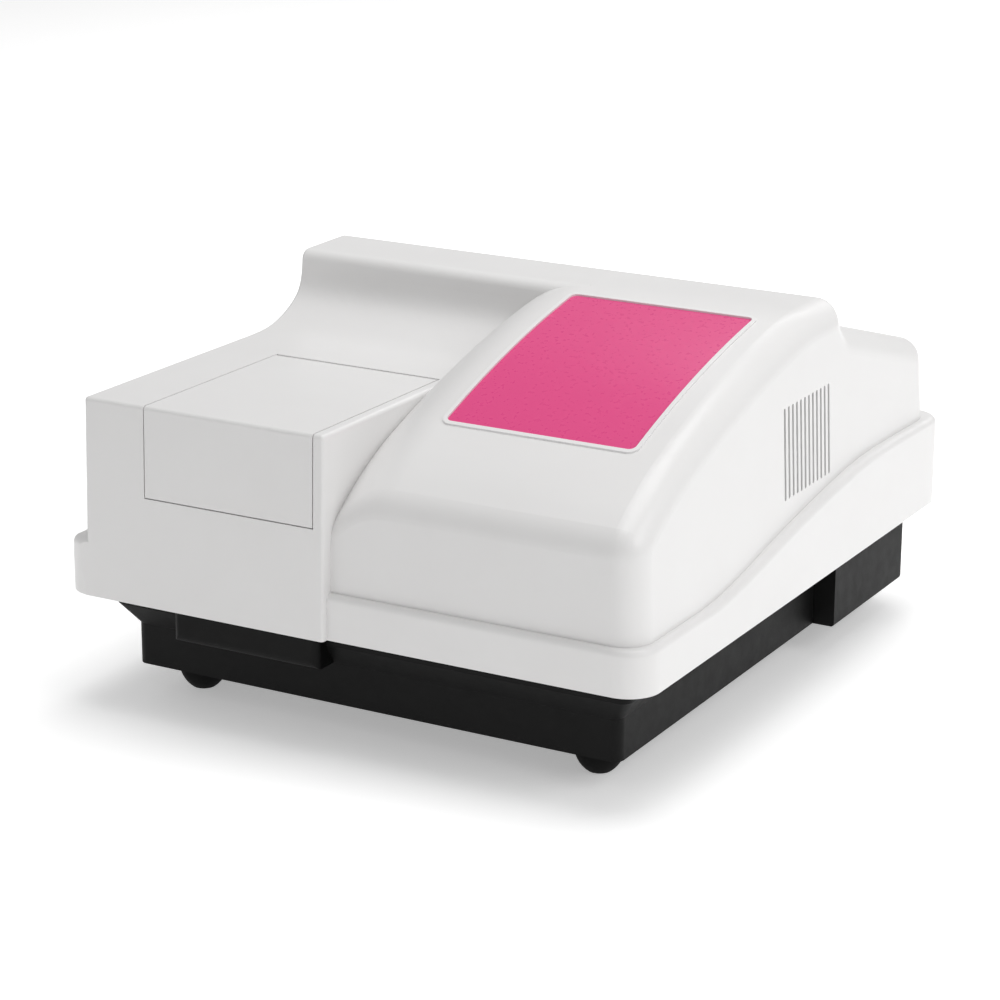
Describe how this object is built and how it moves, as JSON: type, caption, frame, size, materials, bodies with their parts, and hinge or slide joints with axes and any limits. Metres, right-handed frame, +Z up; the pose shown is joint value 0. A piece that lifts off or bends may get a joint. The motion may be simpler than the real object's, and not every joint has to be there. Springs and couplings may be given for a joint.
{
  "type": "bench spectrophotometer",
  "caption": "Bench spectrophotometer with a lidded sample bay on the left, a sloped console with a flush screen, a side vent, a black base tray and rubber feet.",
  "frame": {"origin": "on the bench top under the middle of the overall outline", "axes": "+Z up, -Y towards the user, +X to the user's right"},
  "size_m": [0.49, 0.5572, 0.2973],
  "materials": {
    "cover_white": "satin moulded",
    "lid_white": "satin moulded",
    "base_black": "fine textured",
    "rubber_black": "matt",
    "screen_magenta": "satin film",
    "frame_white": "satin moulded",
    "panel_black": "powder coat",
    "black_plastic": "moulded",
    "steel": "plated",
    "bright_steel": "ground",
    "aluminium_cast": "bead blasted",
    "anodised_black": "black anodised",
    "brass": "turned",
    "glass_clear": "polished",
    "filter_glass": "coloured",
    "mirror": "coated",
    "ceramic": "ceramic",
    "board_green": "solder mask",
    "foam_black": "foam"
  },
  "bodies": {
    "chassis": {"top_cover": "cover_white", "lid_hinge_pins": "steel", "base_tray": "base_black", "rubber_feet": "rubber_black", "foot_screws": "steel", "cover_screws": "steel", "side_housing": "base_black", "sample_bay_pan": "base_black", "rear_panel": "panel_black", "mains_inlet": "black_plastic", "inlet_pins": "brass", "power_switch": "black_plastic", "usb_port": "steel", "fan_housing": "black_plastic", "main_board": "board_green", "board_components": "black_plastic", "board_standoffs": "brass", "power_supply": "steel", "optical_bench": "aluminium_cast", "bench_posts": "steel", "bench_dampers": "rubber_black", "monochromator_case": "anodised_black", "monochromator_lid": "anodised_black", "slit_plates": "steel", "mirror_mounts": "anodised_black", "mirrors": "mirror", "grating_motor": "black_plastic", "lamp_house": "aluminium_cast", "lamp_socket": "ceramic", "halogen_lamp": "glass_clear", "condenser_mirror": "mirror", "source_tube": "anodised_black", "filter_motor": "black_plastic", "filter_motor_bracket": "aluminium_cast", "sample_well": "black_plastic", "light_seal": "foam_black", "well_windows": "glass_clear", "carriage_rods": "bright_steel", "screw_bearing": "brass", "changer_motor": "black_plastic", "beam_tube": "anodised_black", "detector_tube": "anodised_black", "detector_lens": "glass_clear", "detector_block": "anodised_black", "detector_board": "board_green", "screen_frame": "frame_white", "screen_window": "screen_magenta", "display_module": "steel", "display_brackets": "steel"},
    "lid": {"sample_lid": "lid_white"},
    "carriage": {"cell_carriage": "anodised_black"},
    "changer_screw": {"lead_screw": "bright_steel", "screw_coupler": "aluminium_cast"},
    "grating_turntable": {"grating_table": "aluminium_cast", "diffraction_grating": "mirror"},
    "filter_disc": {"filter_wheel": "anodised_black", "wheel_filters": "filter_glass"},
    "fan_blades": {"fan_rotor": "black_plastic"},
    "switch_rocker": {"power_rocker": "black_plastic"}
  },
  "joints": [
    {"name": "lid_hinge", "type": "hinge", "parent": "chassis", "child": "lid", "pos_m": [-0.09365, -0.0983, 0.24079], "axis": [-1, 0, 0], "range_deg": [0, 100]},
    {"name": "changer_screw_turn", "type": "hinge", "parent": "chassis", "child": "changer_screw", "pos_m": [-0.0935, -0.17, 0.11], "axis": [0, 1, 0], "range_deg": [0, 1620]},
    {"name": "carriage_slide", "type": "slide", "parent": "chassis", "child": "carriage", "axis": [0, 1, 0], "range_m": [0, 0.054]},
    {"name": "grating_turn", "type": "hinge", "parent": "chassis", "child": "grating_turntable", "pos_m": [0.096, -0.075, 0.1], "axis": [0, 0, 1], "range_deg": [-25, 25]},
    {"name": "filter_wheel_turn", "type": "hinge", "parent": "chassis", "child": "filter_disc", "pos_m": [0.131, 0.044, 0.14], "axis": [1, 0, 0], "continuous": true},
    {"name": "fan_turn", "type": "hinge", "parent": "chassis", "child": "fan_blades", "pos_m": [0.14, 0.253, 0.058], "axis": [0, 1, 0], "continuous": true},
    {"name": "power_switch_tilt", "type": "hinge", "parent": "chassis", "child": "switch_rocker", "pos_m": [-0.097, 0.258, 0.057], "axis": [-1, 0, 0], "range_deg": [0, 16]}
  ],
  "couplings": [
    {"joint": "changer_screw_turn", "follows": "carriage_slide", "rad_per_m": 523.6}
  ]
}
